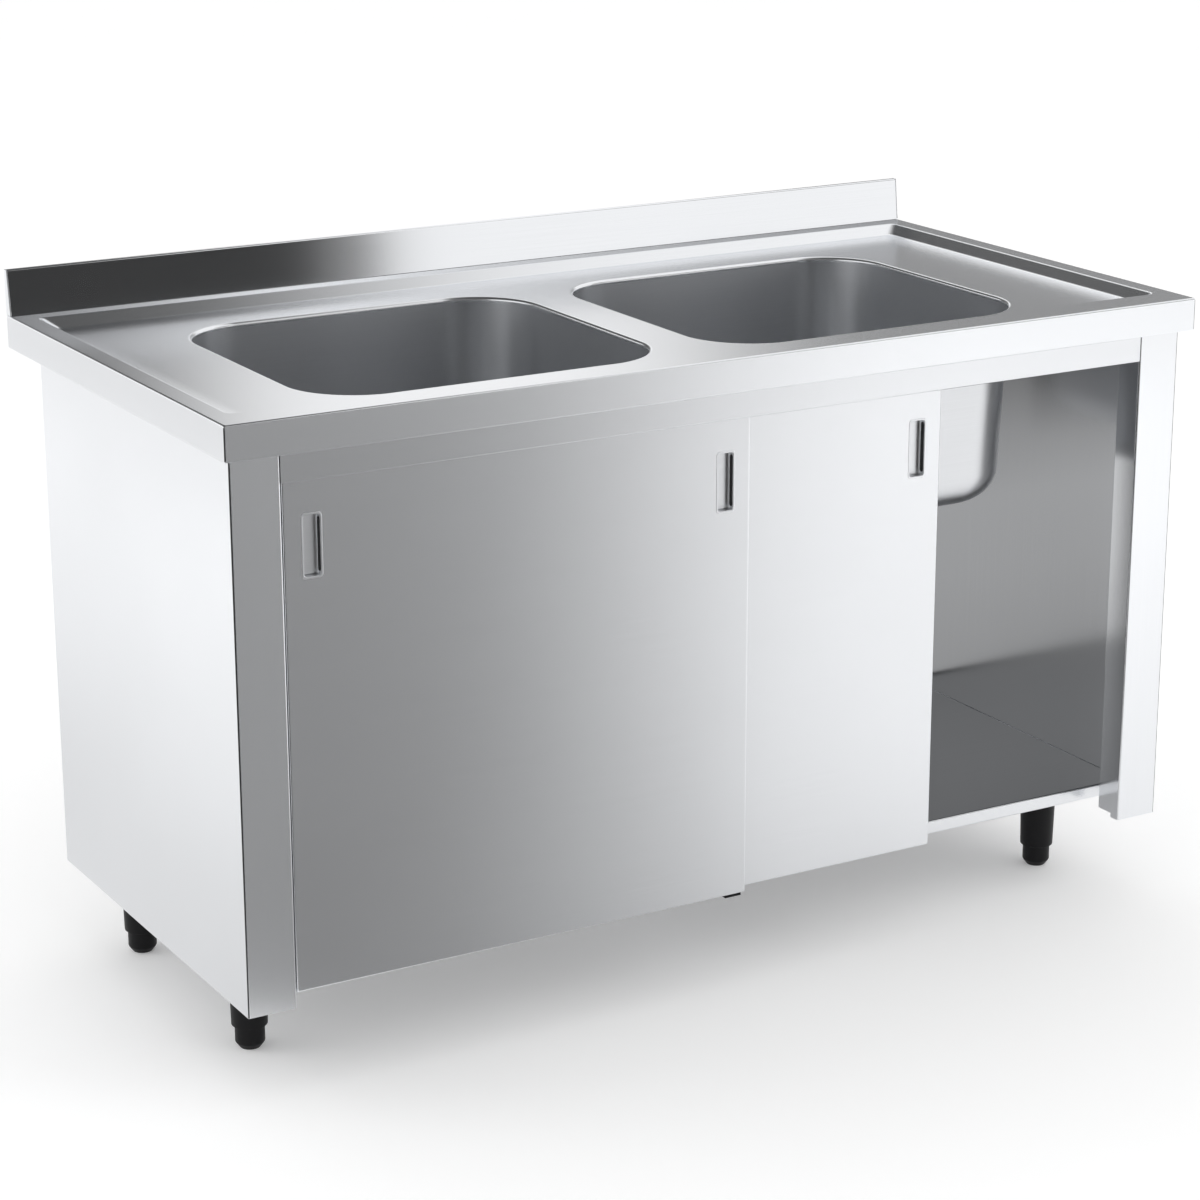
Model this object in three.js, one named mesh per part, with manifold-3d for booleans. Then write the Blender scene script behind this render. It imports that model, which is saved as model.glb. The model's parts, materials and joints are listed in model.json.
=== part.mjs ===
// A stainless steel kitchen sink unit: a pressed worktop with two bowls and a low splashback, on a
// cabinet with two top-hung sliding doors, one shelf floor and four adjustable feet.
// Millimetres, +X to the right, +Y to the back, +Z up. The origin is on the floor, under the middle.
import * as THREE from "three";
import { mergeVertices } from "three/addons/utils/BufferGeometryUtils.js";
import Module from "manifold-3d";

const wasm = await Module();
wasm.setup();

// ---------------------------------------------------------------- driving dimensions

// Whole unit
const width = 1400;
const depth = 700;
const deckHeight = 850;
const sheet = 1.5; // steel sheet of the worktop, the bowls and the cabinet
const seat = 0.3; // gap between two pieces that touch
const bearingGap = 0.1; // between an axle and the bore that turns on it
const roundSegments = 24;
const cornerSegments = 8;

// Worktop: a raised rim all round, with a pressed recess inside it
const apronHeight = 44;
const apronHem = 10;
const sideRim = 28;
const frontRim = 50;
const rearRim = 42;
const recessDepth = 14;
const recessRun = 18;

// Splashback
const splashHeight = 60;
const splashThickness = 15;

// Bowls
const bowlSideMargin = 176;
const bowlGap = 72;
const bowlsOffCentre = -6;
const bowlRecessGap = 38; // from the foot of the front slope to the bowls
const bowlRearMargin = 136;
const bowlDepth = 265;
const bowlCornerRadius = 94;
const bowlBottomRadius = 45;
const bowlTaper = 0.035;
const bowlFlange = 8;

// Waste fitting under each bowl
const wasteHoleRadius = 26;
const wasteFlangeRadius = 42;
const wasteFlangeThickness = 2;
const wasteCupDepth = 24;
const wasteCupWall = 1.5;
const strainerHoleRadius = 3.2;
const strainerRingRadius = 13;
const strainerHoles = 6;
const gasketThickness = 2.5;
const wasteNutRadius = 37;
const tailRadius = 20;
const tailBore = 17.5;
const tailLength = 45;

// Cabinet
const sideInset = 12;
const frontSetback = 18;
const rearServiceGap = 84;
const cabinetBottom = 118;
const stileWidth = 63.5;
const stileReturn = 44;
const stileLip = 12;
const rearReturn = 20;
const returnNotchHeight = 6;
const returnNotchStart = 16;
const topFlangeLap = 12; // how far the side panel's top flange reaches under the recess floor
const backSheet = 1.2;
const backPanelRise = 10; // from the bottom of the side panels to the back panel

// Rails and bearers under the worktop
const railFaceDrop = 82; // from the top of the deck to the lower edge of the front rail
const railBowlGap = 3;
const rearRailDrop = 60;
const bearerSideGap = 8;
const bearerDrop = 20;

// Shelf floor
const shelfTop = 147;
const shelfFold = 19;
const shelfHem = 10;
const shelfGap = 23; // from the stile's return to the front of the shelf
const stiffenerWidth = 60;
const stiffenerBrim = 15;
const stiffenerDrop = 17;
const stiffenerEndGap = 15;

// Doors
const doorSheet = 1.2;
const doorThickness = 15;
const doorGap = 3;
const doorSetback = 4;
const doorBottom = 135.5;
const doorTopCover = 10;
const doorEndGap = 2.5;
const doorOverlap = 30;
const doorBottomLip = 5;
const rearDoorOpening = 304;

// Recessed pulls
const pullWidth = 24;
const pullHeight = 76;
const pullDepth = 9;
const pullSheet = 1;
const pullFlange = 1.6;
const pullFlangeThickness = 0.6;
const pullInset = 36.5;
const pullCentreDrop = 79; // from the lower edge of the front rail to the middle of the pulls

// Hangers, wheels and the double track
const hangerWidth = 50;
const hangerSheet = 1.5;
const hangerInset = 75;
const hangerFootGap = 3;
const wheelRadius = 9.5;
const wheelGrooveRadius = 7.7;
const wheelGrooveWidth = 2.2;
const wheelGrooveMouth = 3.2;
const wheelWidth = 5;
const wheelRise = 22; // from the top of a door to the wheels' axles
const axleRadius = 3;
const axleHeadRadius = 5;
const axleHeadThickness = 1.2;
const wheelSideGap = 1;
const trackSheet = 1.5;
const trackRibHeight = 4.5;
const trackWebGap = 2.7;

// Lower door guide
const guideSideGap = 1.8;
const guideBarThickness = 4;
const guideDoorGap = 2;
const guideFinGap = 1;
const guideFinHeight = 8;
const guidePlateThickness = 3;

// Feet
const footInset = 84.5;
const frontFootSetback = 185;
const rearFootInset = 162;
const footPlateSize = 80;
const footPlateThickness = 2.7;
const footTopRadius = 25;
const footBottomRadius = 23;
const footCollarHeight = 8;
const footTipTop = 31;
const footTipRadius = 19;
const footPadRadius = 13;
const footChamfer = 8;
const spindleRadius = 9;
const spindleLength = 62;
const spindleHeadroom = 6;

// ---------------------------------------------------------------- derived places

const recessFloor = deckHeight - recessDepth;
const bowlWidth = (width - 2 * bowlSideMargin - bowlGap) / 2;
const bowlFront = frontRim + recessRun + bowlRecessGap;
const bowlLength = depth - bowlRearMargin - bowlFront;
const bowlSpacing = bowlWidth + bowlGap;
const bowlCentres = [-1, 1].map((side) => width / 2 + bowlsOffCentre + (side * bowlSpacing) / 2);
const bowlCentreDepth = bowlFront + bowlLength / 2;

const frameTop = recessFloor - sheet - seat;
const panelInner = sideInset + sheet;
const stileEdge = sideInset + stileWidth;
const cabinetRear = depth - rearServiceGap;
const backPanelRear = cabinetRear - sheet - seat;
const innerRear = backPanelRear - backSheet - seat;
const railFaceBottom = deckHeight - railFaceDrop;
const railRear = bowlFront - bowlFlange - railBowlGap;
const rearRailFront = bowlFront + bowlLength + bowlFlange + railBowlGap;
const bearerWidth = bowlGap - 2 * bowlFlange - 2 * bearerSideGap;
const shelfFront = frontSetback + stileReturn + shelfGap;
const shelfUnderside = shelfTop - sheet;
const stiffenerTop = shelfUnderside - seat;
const footPlateTop = stiffenerTop - stiffenerDrop - seat;

const doorPitch = doorThickness + doorGap;
const doorWidth = (width - 2 * stileEdge - 2 * doorEndGap + doorOverlap) / 2;
const doorHeight = railFaceBottom + doorTopCover - doorBottom;
const doorLeft = stileEdge + doorEndGap;
const frontDoorFace = frontSetback + doorSetback;
const rearDoorFace = frontDoorFace + doorPitch;
const pullHeightInDoor = railFaceBottom - pullCentreDrop - doorBottom;
const pullPlaces = { left: pullInset, right: doorWidth - pullInset };
const hangerPlaces = { left: hangerInset, right: doorWidth - hangerInset };
const wheelHeightInDoor = doorHeight + wheelRise;
const wheelCentreDepth = hangerSheet + seat + wheelSideGap + wheelWidth / 2;
const ribTop = doorBottom + wheelHeightInDoor - wheelGrooveRadius - seat;

// ---------------------------------------------------------------- materials

function finish(color, roughness, metalness) {
  return new THREE.MeshStandardMaterial({ color, roughness, metalness });
}

const satinSteel = () => finish(0xc9cbcf, 0.34, 1);
const darkSteel = () => finish(0x9a9ca1, 0.4, 1);
const zincSteel = () => finish(0xaeb0b3, 0.5, 1);
const polishedSteel = () => finish(0xdadcdf, 0.15, 1);
const blackPlastic = () => finish(0x101113, 0.5, 0);
const whiteNylon = () => finish(0xe9e7e0, 0.45, 0);
const blackRubber = () => finish(0x1b1c1e, 0.8, 0);

// ---------------------------------------------------------------- solids

// A closed three.js geometry as a manifold-3d solid with its faces pointing out.
function solid(geometry) {
  const bare = geometry.clone();
  bare.deleteAttribute("normal");
  bare.deleteAttribute("uv");
  const merged = mergeVertices(bare, 1e-3);
  const vertProperties = new Float32Array(merged.getAttribute("position").array);
  const triVerts = new Uint32Array(merged.index.array);
  const made = new wasm.Manifold(new wasm.Mesh({ numProp: 3, vertProperties, triVerts }));
  if (made.volume() >= 0) return made;
  return new wasm.Manifold(new wasm.Mesh({ numProp: 3, vertProperties, triVerts: triVerts.reverse() }));
}

function geometryOf(made) {
  const mesh = made.getMesh();
  const geometry = new THREE.BufferGeometry();
  geometry.setAttribute("position", new THREE.BufferAttribute(mesh.vertProperties, 3));
  geometry.setIndex(new THREE.BufferAttribute(mesh.triVerts, 1));
  const faceted = geometry.toNonIndexed();
  faceted.computeVertexNormals();
  return faceted;
}

function box(x0, x1, y0, y1, z0, z1) {
  const geometry = new THREE.BoxGeometry(x1 - x0, y1 - y0, z1 - z0);
  return solid(geometry.translate((x0 + x1) / 2, (y0 + y1) / 2, (z0 + z1) / 2));
}

// A box whose upper and lower rectangles differ: each is { x0, x1, y0, y1, z }.
function frustum(low, high) {
  const geometry = new THREE.BoxGeometry(1, 1, 1);
  const corners = geometry.getAttribute("position");
  for (let i = 0; i < corners.count; i++) {
    const ring = corners.getZ(i) > 0 ? high : low;
    const x = corners.getX(i) > 0 ? ring.x1 : ring.x0;
    const y = corners.getY(i) > 0 ? ring.y1 : ring.y0;
    corners.setXYZ(i, x, y, ring.z);
  }
  return solid(geometry);
}

// A folded sheet's section: the path is its outer face, and the thickness lies to the path's left.
function strip(path, thickness) {
  const outer = path.map(([u, v]) => new THREE.Vector2(u, v));
  const normals = outer.slice(1).map((point, i) => {
    const along = point.clone().sub(outer[i]).normalize();
    return new THREE.Vector2(-along.y, along.x);
  });
  const inner = outer.map((point, i) => {
    const before = normals[Math.max(i - 1, 0)];
    const after = normals[Math.min(i, normals.length - 1)];
    const mitre = before.clone().add(after);
    return point.clone().addScaledVector(mitre, (2 * thickness) / mitre.lengthSq());
  });
  return new THREE.Shape([...outer, ...inner.reverse()]);
}

function extrude(shape, length) {
  const settings = { depth: length, bevelEnabled: false, curveSegments: cornerSegments };
  return new THREE.ExtrudeGeometry(shape, settings);
}

// A section drawn in Y and Z, run along X.
function alongX(shape, x0, x1) {
  const turn = new THREE.Matrix4().makeBasis(
    new THREE.Vector3(0, 1, 0),
    new THREE.Vector3(0, 0, 1),
    new THREE.Vector3(1, 0, 0),
  );
  return solid(extrude(shape, x1 - x0).applyMatrix4(turn).translate(x0, 0, 0));
}

// A section drawn in X and Z, run along Y.
function alongY(shape, y0, y1) {
  return solid(extrude(shape, y1 - y0).rotateX(Math.PI / 2).translate(0, y1, 0));
}

// A section drawn in X and Y, run along Z.
function alongZ(shape, z0, z1) {
  return solid(extrude(shape, z1 - z0).translate(0, 0, z0));
}

// A turned piece about Z: the profile holds [radius, height] pairs.
function turned(profile) {
  const points = profile.map(([radius, height]) => new THREE.Vector2(radius, height));
  return solid(new THREE.LatheGeometry(points, roundSegments).rotateX(Math.PI / 2));
}

function roundBar(radius, z0, z1) {
  return turned([[0, z0], [radius, z0], [radius, z1], [0, z1]]);
}

function roundedRectangle(w, l, radius) {
  const shape = new THREE.Shape();
  shape.moveTo(w / 2, -l / 2 + radius);
  shape.absarc(w / 2 - radius, l / 2 - radius, radius, 0, Math.PI / 2);
  shape.absarc(-w / 2 + radius, l / 2 - radius, radius, Math.PI / 2, Math.PI);
  shape.absarc(-w / 2 + radius, -l / 2 + radius, radius, Math.PI, 1.5 * Math.PI);
  shape.absarc(w / 2 - radius, -l / 2 + radius, radius, 1.5 * Math.PI, 2 * Math.PI);
  return shape;
}

// ---------------------------------------------------------------- scene helpers

const unit = new THREE.Group();
unit.position.set(-width / 2, -depth / 2, 0);

function add(parent, name, made, material, place = [0, 0, 0]) {
  const mesh = new THREE.Mesh(geometryOf(made), material);
  mesh.name = name;
  mesh.position.set(...place);
  parent.add(mesh);
  return mesh;
}

function groupAt(parent, x, y, z) {
  const group = new THREE.Group();
  group.position.set(x, y, z);
  parent.add(group);
  return group;
}

// ---------------------------------------------------------------- worktop and splashback

function rectangleIn(edge, z) {
  return {
    x0: sideRim + edge,
    x1: width - sideRim - edge,
    y0: frontRim + edge,
    y1: depth - rearRim - edge,
    z,
  };
}

function worktop() {
  const apronBottom = deckHeight - apronHeight;
  const slope = recessDepth / recessRun;
  const drop = sheet * Math.hypot(1, slope);
  const blank = box(0, width, 0, depth, apronBottom, deckHeight);
  const within = (edge, ...levels) => box(edge, width - edge, edge, depth - edge, ...levels);
  const hollow = within(sheet, apronBottom + sheet, deckHeight - sheet);
  const mouth = within(apronHem, apronBottom - 1, deckHeight - sheet);
  const under = frustum(
    rectangleIn((recessDepth + sheet - drop) / slope, recessFloor - sheet),
    rectangleIn(-drop / slope, deckHeight),
  );
  const recess = frustum(
    rectangleIn(recessRun, recessFloor),
    rectangleIn(-recessRun / recessDepth, deckHeight + 1),
  );
  let made = blank.subtract(hollow).subtract(mouth).add(under).subtract(recess);
  for (const centre of bowlCentres) {
    const hole = alongZ(
      roundedRectangle(bowlWidth, bowlLength, bowlCornerRadius),
      recessFloor - 2 * sheet,
      recessFloor + sheet,
    );
    made = made.subtract(hole.translate([centre, bowlCentreDepth, 0]));
  }
  return made;
}

function splashback() {
  const group = groupAt(unit, 0, depth - splashThickness, deckHeight);
  const fold = strip(
    [[0, seat], [0, splashHeight], [splashThickness, splashHeight], [splashThickness, seat]],
    -sheet,
  );
  const cap = box(0, sheet, 0, splashThickness, seat, splashHeight);
  add(group, "splashback", alongX(fold, sheet + seat, width - sheet - seat), satinSteel());
  add(group, "splashback_end_left", cap, satinSteel());
  add(group, "splashback_end_right", cap, satinSteel(), [width - sheet, 0, 0]);
}

// ---------------------------------------------------------------- bowls and wastes

// A pressed tub, open at z = 0, with a rounded bottom edge and walls that draw in as they go down.
function tub(grow) {
  const w = bowlWidth + 2 * grow;
  const l = bowlLength + 2 * grow;
  const bottom = bowlDepth + grow;
  const edge = bowlBottomRadius + grow;
  const shape = roundedRectangle(w - 2 * edge, l - 2 * edge, bowlCornerRadius - bowlBottomRadius);
  const geometry = new THREE.ExtrudeGeometry(shape, {
    depth: bottom,
    bevelThickness: edge,
    bevelSize: edge,
    bevelSegments: cornerSegments,
    curveSegments: cornerSegments,
  });
  geometry.translate(0, 0, edge - bottom);
  const corners = geometry.getAttribute("position");
  for (let i = 0; i < corners.count; i++) {
    const z = corners.getZ(i);
    const draw = 1 - (bowlTaper * Math.max(-z, 0)) / bowlDepth;
    corners.setXYZ(i, corners.getX(i) * draw, corners.getY(i) * draw, z);
  }
  return solid(geometry);
}

function bowl(group, side) {
  const top = -sheet - seat;
  const reach = 2 * bowlFlange;
  const flange = alongZ(
    roundedRectangle(bowlWidth + reach, bowlLength + reach, bowlCornerRadius + bowlFlange),
    top - sheet,
    top,
  );
  const above = box(-bowlWidth, bowlWidth, -bowlLength, bowlLength, top, 3 * bowlDepth);
  const hole = roundBar(wasteHoleRadius, -bowlDepth - 2 * sheet, -bowlDepth + sheet);
  const made = tub(sheet).subtract(above).add(flange).subtract(tub(0)).subtract(hole);
  add(group, "bowl_" + side, made, satinSteel());
}

function waste(group, side) {
  const cupRadius = wasteHoleRadius - seat;
  const cupInner = cupRadius - wasteCupWall;
  let strainer = turned([
    [0, -wasteCupDepth],
    [cupRadius, -wasteCupDepth],
    [cupRadius, seat],
    [wasteFlangeRadius, seat],
    [wasteFlangeRadius, wasteFlangeThickness / 2],
    [wasteFlangeRadius - wasteFlangeThickness, wasteFlangeThickness],
    [cupInner + wasteFlangeThickness, wasteFlangeThickness],
    [cupInner, wasteFlangeThickness / 2],
    [cupInner, wasteCupWall - wasteCupDepth],
    [0, wasteCupWall - wasteCupDepth],
  ]);
  for (let i = 0; i < strainerHoles; i++) {
    const angle = (2 * Math.PI * i) / strainerHoles;
    const drill = roundBar(strainerHoleRadius, -wasteCupDepth - 1, wasteCupWall + 1 - wasteCupDepth);
    const place = [strainerRingRadius * Math.cos(angle), strainerRingRadius * Math.sin(angle), 0];
    strainer = strainer.subtract(drill.translate(place));
  }
  add(group, "waste_strainer_" + side, strainer, polishedSteel());

  const gasketTop = -sheet - seat;
  const gasketBottom = gasketTop - gasketThickness;
  const gasket = turned([
    [cupRadius + seat, gasketBottom],
    [wasteNutRadius, gasketBottom],
    [wasteNutRadius, gasketTop],
    [cupRadius + seat, gasketTop],
    [cupRadius + seat, gasketBottom],
  ]);
  add(group, "waste_gasket_" + side, gasket, blackRubber());

  const nutTop = gasketBottom - seat;
  const nutBottom = -wasteCupDepth - 2 * seat - wasteCupWall;
  const tail = turned([
    [tailBore, nutBottom - tailLength],
    [tailRadius, nutBottom - tailLength],
    [tailRadius, nutBottom],
    [wasteNutRadius, nutBottom],
    [wasteNutRadius, nutTop],
    [cupRadius + seat, nutTop],
    [cupRadius + seat, -wasteCupDepth - seat],
    [tailBore, -wasteCupDepth - seat],
    [tailBore, nutBottom - tailLength],
  ]);
  add(group, "waste_tail_" + side, tail, blackPlastic());
}

function bowlsAndWastes() {
  ["left", "right"].forEach((side, i) => {
    const group = groupAt(unit, bowlCentres[i], bowlCentreDepth, recessFloor);
    bowl(group, side);
    waste(groupAt(group, 0, 0, -bowlDepth), side);
  });
}

// ---------------------------------------------------------------- cabinet

// One folded sheet: rear return, side wall, front stile and the stile's return, with a top flange.
function sidePanel(mirrored) {
  const across = (x) => (mirrored ? width - x : x);
  const turn = mirrored ? -1 : 1;
  const returnEnd = frontSetback + stileReturn;
  const section = strip(
    [
      [across(sideInset + rearReturn), cabinetRear],
      [across(sideInset), cabinetRear],
      [across(sideInset), frontSetback],
      [across(stileEdge), frontSetback],
      [across(stileEdge), returnEnd],
      [across(stileEdge - stileLip), returnEnd],
    ],
    turn * sheet,
  );
  const between = (a, b, ...rest) => box(Math.min(a, b), Math.max(a, b), ...rest);
  const flange = between(
    across(sideInset),
    across(sideRim + recessRun + topFlangeLap),
    returnEnd + sheet,
    rearRailFront - seat,
    frameTop - sheet,
    frameTop,
  );
  const notch = between(
    across(stileEdge - stileLip - sheet),
    across(stileEdge + sheet),
    frontSetback + returnNotchStart,
    returnEnd + sheet,
    cabinetBottom - 1,
    cabinetBottom + returnNotchHeight,
  );
  return alongZ(section, cabinetBottom, frameTop).add(flange).subtract(notch);
}

function backPanel() {
  return box(
    panelInner + seat,
    width - panelInner - seat,
    backPanelRear - backSheet,
    backPanelRear,
    cabinetBottom + backPanelRise,
    frameTop,
  );
}

function shelf() {
  const section = strip(
    [
      [shelfFront + shelfHem, shelfTop - shelfFold],
      [shelfFront, shelfTop - shelfFold],
      [shelfFront, shelfTop],
      [innerRear, shelfTop],
      [innerRear, shelfTop - shelfFold],
    ],
    -sheet,
  );
  return alongX(section, panelInner + seat, width - panelInner - seat);
}

// A hat section with its brims against the shelf's underside, at z = 0.
function shelfStiffener() {
  const half = stiffenerWidth / 2;
  const section = strip(
    [
      [-half - stiffenerBrim, -sheet],
      [-half, -sheet],
      [-half, -stiffenerDrop],
      [half, -stiffenerDrop],
      [half, -sheet],
      [half + stiffenerBrim, -sheet],
    ],
    sheet,
  );
  return alongY(section, shelfFront + shelfHem + stiffenerEndGap, innerRear - stiffenerEndGap);
}

function frontRail() {
  const section = strip(
    [
      [railRear, frameTop],
      [frontSetback, frameTop],
      [frontSetback, railFaceBottom],
    ],
    sheet,
  );
  return alongX(section, stileEdge + seat, width - stileEdge - seat);
}

function rearRail() {
  const section = strip(
    [
      [rearRailFront, frameTop],
      [innerRear, frameTop],
      [innerRear, frameTop - rearRailDrop],
    ],
    -sheet,
  );
  return alongX(section, panelInner + seat, width - panelInner - seat);
}

function bearer() {
  const half = bearerWidth / 2;
  const section = strip([[-half, -bearerDrop], [-half, 0], [half, 0], [half, -bearerDrop]], -sheet);
  return alongY(section, railRear + seat, rearRailFront - seat);
}

// Two ledges side by side, each with an upstanding rib that a grooved wheel runs on.
function doorTrack() {
  const top = frameTop - sheet - seat;
  const firstRib = frontDoorFace + wheelCentreDepth - trackSheet / 2;
  const headRear = wheelCentreDepth + wheelWidth / 2 + seat + axleHeadThickness;
  const firstWeb = frontDoorFace + headRear + trackWebGap;
  const ledge = ribTop - trackRibHeight;
  const ends = [stileEdge + seat, width - stileEdge - seat];
  let made = box(...ends, firstWeb, firstWeb + doorPitch + trackSheet, top - trackSheet, top);
  for (const shift of [0, doorPitch]) {
    const web = firstWeb + shift;
    const rib = firstRib + shift;
    made = made
      .add(box(...ends, web, web + trackSheet, ledge - trackSheet, top))
      .add(box(...ends, rib, web + trackSheet, ledge - trackSheet, ledge))
      .add(box(...ends, rib, rib + trackSheet, ledge - trackSheet, ribTop));
  }
  return made;
}

// A plastic block under the doors' overlap, with one fin standing in each door's bottom slot.
function doorGuide() {
  const barTop = doorBottom - guideDoorGap;
  const barBottom = barTop - guideBarThickness;
  const rear = shelfFront - seat;
  const fin = doorThickness / 2 - doorBottomLip - guideFinGap;
  const fins = [frontDoorFace, rearDoorFace].map((face) => face + doorThickness / 2);
  const half = doorOverlap / 2 - doorSheet - guideSideGap;
  const plate = box(-half, half, rear - guidePlateThickness, rear, barBottom, shelfUnderside);
  let made = box(-half, half, fins[0] - fin, rear, barBottom, barTop).add(plate);
  for (const middle of fins) {
    made = made.add(box(-half, half, middle - fin, middle + fin, barBottom, barTop + guideFinHeight));
  }
  return made;
}

function cabinet() {
  add(unit, "worktop", worktop(), satinSteel());
  add(unit, "side_panel_left", sidePanel(false), satinSteel());
  add(unit, "side_panel_right", sidePanel(true), satinSteel());
  add(unit, "back_panel", backPanel(), darkSteel());
  add(unit, "shelf", shelf(), satinSteel());
  add(unit, "front_rail", frontRail(), satinSteel());
  add(unit, "rear_rail", rearRail(), darkSteel());
  add(unit, "door_track", doorTrack(), darkSteel());
  add(unit, "door_guide", doorGuide(), blackPlastic(), [width / 2, 0, 0]);
  const flangeReach = bowlWidth / 2 + bowlFlange;
  const recessEdge = sideRim + recessRun;
  const bearerPlaces = {
    left: (recessEdge + bowlCentres[0] - flangeReach) / 2,
    middle: (bowlCentres[0] + bowlCentres[1]) / 2,
    right: (width - recessEdge + bowlCentres[1] + flangeReach) / 2,
  };
  for (const [side, x] of Object.entries(bearerPlaces)) {
    add(unit, "top_bearer_" + side, bearer(), zincSteel(), [x, 0, frameTop]);
  }
  const stiffenerPlaces = { left: footInset, middle: width / 2, right: width - footInset };
  for (const [side, x] of Object.entries(stiffenerPlaces)) {
    add(unit, "shelf_stiffener_" + side, shelfStiffener(), zincSteel(), [x, 0, stiffenerTop]);
  }
}

// ---------------------------------------------------------------- doors

// The outer skin with its side and top returns, and a lip in front of the bottom slot.
function doorPan() {
  const back = doorThickness - doorSheet - seat;
  const innerEnds = [doorSheet, doorWidth - doorSheet];
  const shell = box(0, doorWidth, 0, back, 0, doorHeight);
  const inside = box(...innerEnds, doorSheet, back + 1, doorSheet, doorHeight - doorSheet);
  const slot = box(...innerEnds, doorBottomLip, back + 1, -1, 2 * doorSheet);
  let made = shell.subtract(inside).subtract(slot);
  for (const x of Object.values(pullPlaces)) {
    const hole = box(
      x - pullWidth / 2,
      x + pullWidth / 2,
      -1,
      doorSheet + 1,
      pullHeightInDoor - pullHeight / 2,
      pullHeightInDoor + pullHeight / 2,
    );
    made = made.subtract(hole);
  }
  return made;
}

// The inner skin, with a lip behind the bottom slot.
function doorLiner() {
  const front = doorThickness - doorSheet;
  const edge = doorSheet + seat;
  const lipFront = doorThickness - doorBottomLip;
  return box(0, doorWidth, front, doorThickness, 0, doorHeight).add(
    box(edge, doorWidth - edge, lipFront, doorThickness, 0, doorSheet),
  );
}

// A shallow cup in the door's hole, with a thin flange on the door's face.
function pullCup() {
  const w = pullWidth / 2 - seat;
  const h = pullHeight / 2 - seat;
  const outerW = pullWidth / 2 + pullFlange;
  const outerH = pullHeight / 2 + pullFlange;
  const shell = box(-w, w, -seat, pullDepth + pullSheet, -h, h);
  const flange = box(-outerW, outerW, -seat - pullFlangeThickness, -seat, -outerH, outerH);
  const finger = box(
    -w + pullSheet,
    w - pullSheet,
    -2 * pullFlangeThickness - 1,
    pullDepth,
    -h + pullSheet,
    h - pullSheet,
  );
  return shell.add(flange).subtract(finger);
}

// An angle that stands on the door's top edge, at z = 0, and carries the wheel's axle.
function hanger() {
  const half = hangerWidth / 2;
  const plateTop = wheelRise + wheelGrooveRadius;
  const footRear = doorThickness - hangerFootGap;
  const section = strip([[footRear, seat], [seat, seat], [seat, plateTop]], -hangerSheet);
  const bore = roundBar(axleRadius + seat, -doorThickness, doorThickness).rotate([90, 0, 0]);
  return alongX(section, -half, half).subtract(bore.translate([0, 0, wheelRise]));
}

function wheel() {
  const half = wheelWidth / 2;
  const bore = axleRadius + bearingGap;
  const profile = [
    [bore, -half],
    [wheelRadius, -half],
    [wheelRadius, -wheelGrooveMouth / 2],
    [wheelGrooveRadius, -wheelGrooveWidth / 2],
    [wheelGrooveRadius, wheelGrooveWidth / 2],
    [wheelRadius, wheelGrooveMouth / 2],
    [wheelRadius, half],
    [bore, half],
    [bore, -half],
  ];
  return turned(profile).rotate([90, 0, 0]);
}

// A headed pin through the hanger and the wheel: z = 0 is the wheel's middle, the head is behind it.
function axle() {
  const behind = -wheelWidth / 2 - seat;
  const front = wheelCentreDepth - seat;
  return turned([
    [0, behind - axleHeadThickness],
    [axleHeadRadius, behind - axleHeadThickness],
    [axleHeadRadius, behind],
    [axleRadius, behind],
    [axleRadius, front],
    [0, front],
  ]).rotate([90, 0, 0]);
}

function door(name, x, face) {
  const group = groupAt(unit, x, face, doorBottom);
  add(group, name + "_pan", doorPan(), satinSteel());
  add(group, name + "_liner", doorLiner(), darkSteel());
  for (const [side, place] of Object.entries(pullPlaces)) {
    add(group, name + "_pull_" + side, pullCup(), satinSteel(), [place, 0, pullHeightInDoor]);
  }
  for (const [side, place] of Object.entries(hangerPlaces)) {
    const spot = [place, wheelCentreDepth, wheelHeightInDoor];
    add(group, name + "_hanger_" + side, hanger(), zincSteel(), [place, 0, doorHeight]);
    add(group, name + "_axle_" + side, axle(), zincSteel(), spot);
    add(group, name + "_wheel_" + side, wheel(), whiteNylon(), spot);
  }
}

// ---------------------------------------------------------------- feet

function foot(name, x, y) {
  const group = groupAt(unit, x, y, 0);
  const half = footPlateSize / 2;
  const footPlateBottom = footPlateTop - footPlateThickness;
  const plate = box(-half, half, -half, half, footPlateBottom, footPlateTop);
  add(group, name + "_plate", plate, zincSteel());

  const socketTop = footPlateBottom - seat;
  const socketBottom = footTipTop + seat;
  const bore = spindleRadius + seat;
  const boreTop = footTipTop + spindleLength + spindleHeadroom;
  const socket = turned([
    [bore, socketBottom],
    [footBottomRadius, socketBottom],
    [footTopRadius, socketTop - footCollarHeight],
    [footTopRadius, socketTop],
    [0, socketTop],
    [0, boreTop],
    [bore, boreTop],
    [bore, socketBottom],
  ]);
  add(group, name + "_socket", socket, blackPlastic());

  const tip = turned([
    [0, 0],
    [footPadRadius, 0],
    [footTipRadius, footChamfer],
    [footTipRadius, footTipTop],
    [spindleRadius, footTipTop],
    [spindleRadius, footTipTop + spindleLength],
    [0, footTipTop + spindleLength],
  ]);
  add(group, name + "_tip", tip, blackPlastic());
}

function feet() {
  const rear = depth - rearFootInset;
  foot("foot_front_left", footInset, frontFootSetback);
  foot("foot_front_right", width - footInset, frontFootSetback);
  foot("foot_rear_left", footInset, rear);
  foot("foot_rear_right", width - footInset, rear);
}

// ---------------------------------------------------------------- the whole unit

cabinet();
splashback();
bowlsAndWastes();
door("door_front", doorLeft, frontDoorFace);
door("door_rear", width - doorLeft - doorWidth - rearDoorOpening, rearDoorFace);
feet();

const sinkUnit = new THREE.Group();
sinkUnit.add(unit);

export default sinkUnit;
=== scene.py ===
import json
import math

import bpy
from mathutils import Matrix, Vector
from mathutils.geometry import tessellate_polygon


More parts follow.
